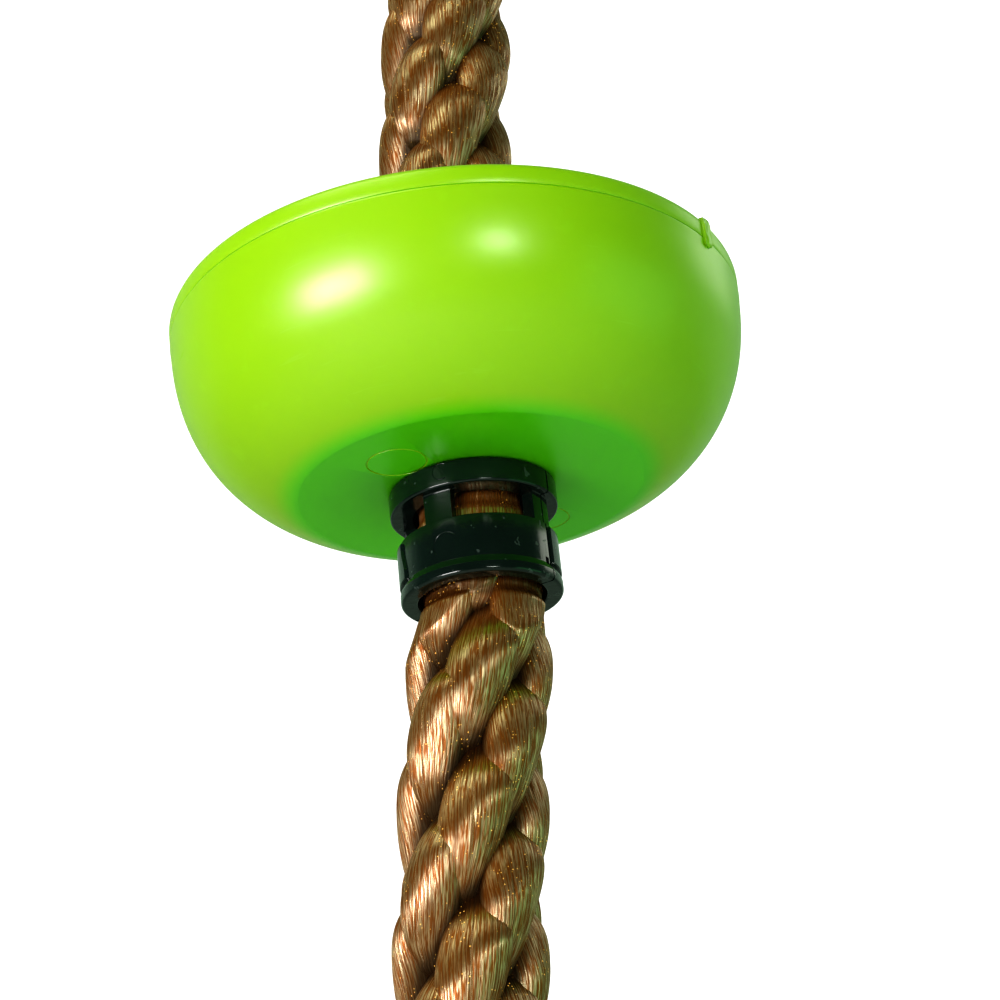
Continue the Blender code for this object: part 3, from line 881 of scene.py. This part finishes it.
def arc_tool(name, az0, r, z0, major, minor, a0, a1, n=56, m=8):
    """Thin round tool along a circular arc drawn on a cylinder of radius r."""
    bm = bmesh.new()
    rows = []
    for i in range(n + 1):
        t = math.radians(a0 + (a1 - a0) * i / n)
        row = []
        for j in range(m):
            b = 2 * math.pi * j / m
            q = major + minor * math.cos(b)
            row.append(bm.verts.new(at(az0 + math.degrees(q * math.cos(t) / r), r + minor * math.sin(b), z0 + q * math.sin(t))))
        rows.append(row)
    for i in range(n):
        for j in range(m):
            bm.faces.new((rows[i][j], rows[i + 1][j], rows[i + 1][(j + 1) % m], rows[i][(j + 1) % m]))
    bm.faces.new(rows[0])
    bm.faces.new(rows[-1])
    bmesh.ops.recalc_face_normals(bm, faces=bm.faces[:])
    me = bpy.data.meshes.new(name)
    bm.to_mesh(me)
    bm.free()
    ob = bpy.data.objects.new(name, me)
    bpy.context.scene.collection.objects.link(ob)
    return ob


def collar(name, centre, mat, body, node):
    f = 0.35 * MM
    corners = [(GRIP, -0.3 * MM, 0), (FLANGE_R, -0.3 * MM, f), (FLANGE_R, F_Z, 0.5 * MM), (POST_R, F_Z, 0.30 * MM),
               (POST_R, W_Z, 0.25 * MM), (RING_R, W_Z, 0.35 * MM), (RING_R + 0.02 * MM, LIP_Z + 0.9 * MM, 1.2 * MM),
               (LIPR, LIP_Z - 0.5 * MM, 0.5 * MM), (LIPR, COLLAR_LO, 0.75 * MM), (GRIP + 0.45 * MM, COLLAR_LO, 0.5 * MM), (GRIP, COLLAR_LO + 0.9 * MM, 0.3 * MM)]
    ob = turned(name, fillet(corners, 5), 96, centre - 90 + 0.7, 180 - 1.4, mat, 40.0)
    tools = []
    for side in (-1, 1):
        mid = centre + side * 45.0
        box = fillet([(GRIP - 1 * MM, W_Z, 0), (POST_R + 1 * MM, W_Z, 0), (POST_R + 1 * MM, F_Z, 0), (GRIP - 1 * MM, F_Z, 0)], 1)
        tools.append(turned("win", box, 24, mid - 33.5, 67.0))
    # witness rings of the ejector pins
    for zc, rr, maj, off, a0, a1 in ((-2.2 * MM, FLANGE_R, 1.7 * MM, PIN_F, 60, 300), (-17.2 * MM, RING_R, 2.7 * MM, PIN_R, 40, 215)):
        tools.append(arc_tool("pin", centre + off, rr + 0.03 * MM, zc, maj, 0.13 * MM, a0, a1))
    # snap slot at the parting line
    cutz = [(RING_R - 1.0 * MM, LIP_Z + 0.6 * MM), (RING_R + 1.2 * MM, LIP_Z + 0.6 * MM), (RING_R + 1.2 * MM, LIP_Z + 2.1 * MM), (RING_R - 1.0 * MM, LIP_Z + 2.1 * MM)]
    cut(ob, tools)
    cut(ob, [turned("slot", cutz, 6, centre + 84.0, 4.2)])
    s0 = centre - 90 + 0.9

    def edge(t):
        return s0, centre - 37.5 + 1.7 * math.sin(t * 5.2 + 0.5) - 1.0 * t
    pad = patch("pad", RING_R - 0.8 * MM, RING_R + 0.55 * MM, edge, LIP_Z + 0.9 * MM, W_Z - 0.5 * MM)
    cut(ob, [pad], "UNION")
    ob.data.shade_smooth()
    ob.data.set_sharp_from_angle(angle=math.radians(32))
    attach(ob, body)
    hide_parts(node)
    return ob


collar("collar_shell_front", SEAM_AZ - 90.0, BLACK, "collar_front", "collar_front_half")
collar("collar_shell_rear", SEAM_AZ + 90.0, BLACK_R, "collar_rear", "collar_rear_half")


# ---------------------------------------------------------------------------
# Stage, light, camera
# ---------------------------------------------------------------------------
floor_mesh = bpy.data.meshes.new("floor")
bm = bmesh.new()
bmesh.ops.create_circle(bm, cap_ends=True, segments=96, radius=6.0)
bmesh.ops.translate(bm, verts=bm.verts[:], vec=Vector((0, 0, -0.42)))
bm.to_mesh(floor_mesh)
bm.free()
floor = bpy.data.objects.new("floor", floor_mesh)
bpy.context.scene.collection.objects.link(floor)
fm = Nodes("floor_pale")
fp = fm.n("ShaderNodeBsdfPrincipled")
fp.inputs["Base Color"].default_value = (0.80, 0.80, 0.79, 1)
fp.inputs["Roughness"].default_value = 0.85
# seen directly, the floor reads as the same even pale sheet from every side
fe = fm.n("ShaderNodeEmission")
fe.inputs["Color"].default_value = (0.62, 0.62, 0.61, 1)
fx = fm.n("ShaderNodeMixShader")
fm.link(fm.n("ShaderNodeLightPath").outputs["Is Camera Ray"], fx.inputs[0])
fm.link(fp.outputs[0], fx.inputs[1])
fm.link(fe.outputs[0], fx.inputs[2])
fm.link(fx.outputs[0], fm.out.inputs[0])
floor_mesh.materials.append(fm.mat)

world = bpy.data.worlds.new("studio")
bpy.context.scene.world = world
world.use_nodes = True
wt = world.node_tree
wt.nodes.clear()
wo = wt.nodes.new("ShaderNodeOutputWorld")
lp = wt.nodes.new("ShaderNodeLightPath")
b1 = wt.nodes.new("ShaderNodeBackground")
b1.inputs[0].default_value = (1, 1, 1, 1)
b1.inputs[1].default_value = 1.0
b2 = wt.nodes.new("ShaderNodeBackground")
b2.inputs[1].default_value = 1.0
# a bright sweep behind the object and a dim room in front of it
tc = wt.nodes.new("ShaderNodeTexCoord")
sx = wt.nodes.new("ShaderNodeSeparateXYZ")
wt.links.new(tc.outputs["Generated"], sx.inputs[0])
mr = wt.nodes.new("ShaderNodeMapRange")
mr.interpolation_type = "SMOOTHSTEP"
mr.inputs["From Min"].default_value = -0.05
mr.inputs["From Max"].default_value = 0.55
mr.inputs["To Min"].default_value = 0.12
mr.inputs["To Max"].default_value = 0.46
wt.links.new(sx.outputs[1], mr.inputs["Value"])
tint = wt.nodes.new("ShaderNodeMix")
tint.data_type = "RGBA"
tint.blend_type = "MULTIPLY"
tint.inputs[0].default_value = 1.0
wt.links.new(mr.outputs[0], tint.inputs[6])
hue = wt.nodes.new("ShaderNodeMix")
hue.data_type = "RGBA"
fac = wt.nodes.new("ShaderNodeMapRange")
fac.interpolation_type = "SMOOTHSTEP"
fac.inputs["From Min"].default_value = 0.0
fac.inputs["From Max"].default_value = 0.55
wt.links.new(sx.outputs[1], fac.inputs["Value"])
wt.links.new(fac.outputs[0], hue.inputs[0])
hue.inputs[6].default_value = (0.62, 1.0, 0.76, 1.0)
hue.inputs[7].default_value = (0.72, 1.0, 0.76, 1.0)
wt.links.new(hue.outputs[2], tint.inputs[7])
wt.links.new(tint.outputs[2], b2.inputs[0])
mx = wt.nodes.new("ShaderNodeMixShader")
wt.links.new(lp.outputs["Is Camera Ray"], mx.inputs[0])
wt.links.new(b2.outputs[0], mx.inputs[1])
wt.links.new(b1.outputs[0], mx.inputs[2])
wt.links.new(mx.outputs[0], wo.inputs[0])


def softbox(name, az, el, dist, w, h, power, colour=(1, 1, 1), target=(0, 0, 0)):
    light = bpy.data.lights.new(name, "AREA")
    light.shape = "RECTANGLE"
    light.size, light.size_y = w, h
    light.energy = power
    light.color = colour
    ob = bpy.data.objects.new(name, light)
    a, e = math.radians(az), math.radians(el)
    c = Vector((target[0], target[1], BASE + target[2]))
    ob.location = c + Vector((math.sin(a) * math.cos(e), -math.cos(a) * math.cos(e), math.sin(e))) * dist
    ob.rotation_euler = (c - ob.location).to_track_quat("-Z", "Y").to_euler()
    bpy.context.scene.collection.objects.link(ob)
    return ob


softbox("key", -42.0, -5.5, 1.0, 0.46, 0.27, 6.1, (1.0, 0.98, 0.97))
softbox("top", -35.0, 52.0, 1.15, 0.70, 0.50, 2.9, (0.90, 1.0, 0.74))
softbox("front", 19.0, 4.0, 1.1, 0.21, 0.13, 1.7, (0.94, 1.0, 0.92))
softbox("fill", 72.0, -8.0, 1.2, 0.90, 0.70, 1.6, (0.26, 1.0, 0.38))
softbox("rim", 118.0, 29.0, 1.2, 0.50, 0.40, 0.9, (1.0, 1.0, 0.88))
softbox("under", 172.0, -42.0, 1.2, 0.55, 0.40, 2.6, (0.88, 1.0, 0.92))

F_PX, ELEV, ROLL, TX, TY, DIST = 1955.0, 23.95, 6.08, -5.60, 0.56, 398.85
e, ro = math.radians(ELEV), math.radians(ROLL)
w2c = Matrix(((math.cos(ro), math.sin(e) * math.sin(ro), -math.cos(e) * math.sin(ro), TX * MM),
              (math.sin(ro), -math.sin(e) * math.cos(ro), math.cos(e) * math.cos(ro), TY * MM),
              (0.0, -math.cos(e), -math.sin(e), -DIST * MM),
              (0.0, 0.0, 0.0, 1.0)))
shift = Matrix.Translation(Vector((0, 0, -(BASE - 1.2 * MM))))
cam_data = bpy.data.cameras.new("camera")
cam_data.sensor_width = 36.0
cam_data.lens = F_PX / 1000.0 * 36.0
cam_data.clip_start = 0.01
cam = bpy.data.objects.new("camera", cam_data)
cam.matrix_world = (w2c @ shift).inverted()
bpy.context.scene.collection.objects.link(cam)
bpy.context.scene.camera = cam
bpy.context.scene.view_settings.view_transform = "Standard"
bpy.context.scene.view_settings.look = "High Contrast"
